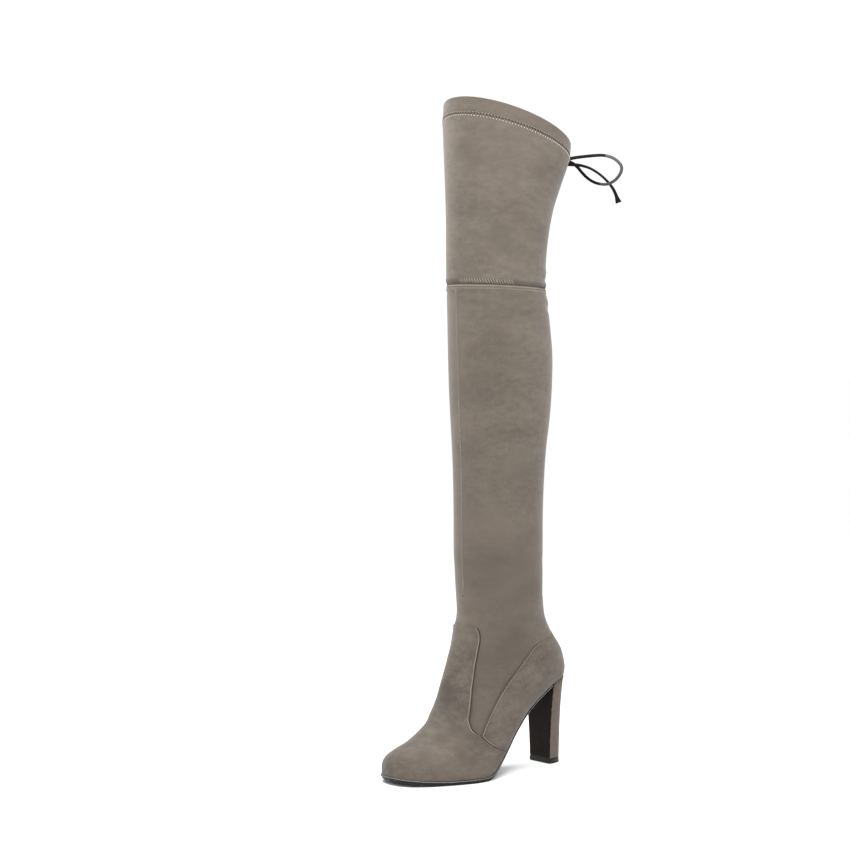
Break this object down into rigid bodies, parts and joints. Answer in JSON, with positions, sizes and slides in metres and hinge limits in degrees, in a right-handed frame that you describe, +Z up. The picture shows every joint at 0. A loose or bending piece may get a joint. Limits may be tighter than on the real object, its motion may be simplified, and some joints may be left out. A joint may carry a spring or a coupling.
{
  "type": "thigh high boot",
  "caption": "Left thigh high pull-on boot in stretch faux suede on a covered block heel, with a slanted collar, folded hem and a drawstring bow at the back",
  "frame": {"origin": "on the floor under the middle of the boot's box, measured without the drawstring's bow", "axes": "+Z up along the shaft, -Y towards the toe, +X towards the outer side of the left foot"},
  "size_m": [0.1187, 0.2577, 0.648],
  "materials": {
    "stretch_suede": "soft brushed nap, matte",
    "suede": "short faux suede nap, matte",
    "lining": "matte knit",
    "sole": "satin black",
    "lace": "matte black flat cord"
  },
  "bodies": {
    "root": {"upper": "stretch_suede", "thigh_panel": "stretch_suede", "vamp": "suede", "counter": "suede", "insole": "lining", "outsole": "sole", "heel_block": "suede", "top_lift": "sole", "drawstring_knot": "lace", "drawstring_loop_outer": "lace", "drawstring_loop_inner": "lace", "drawstring_end_outer": "lace", "drawstring_end_inner": "lace"}
  },
  "joints": []
}
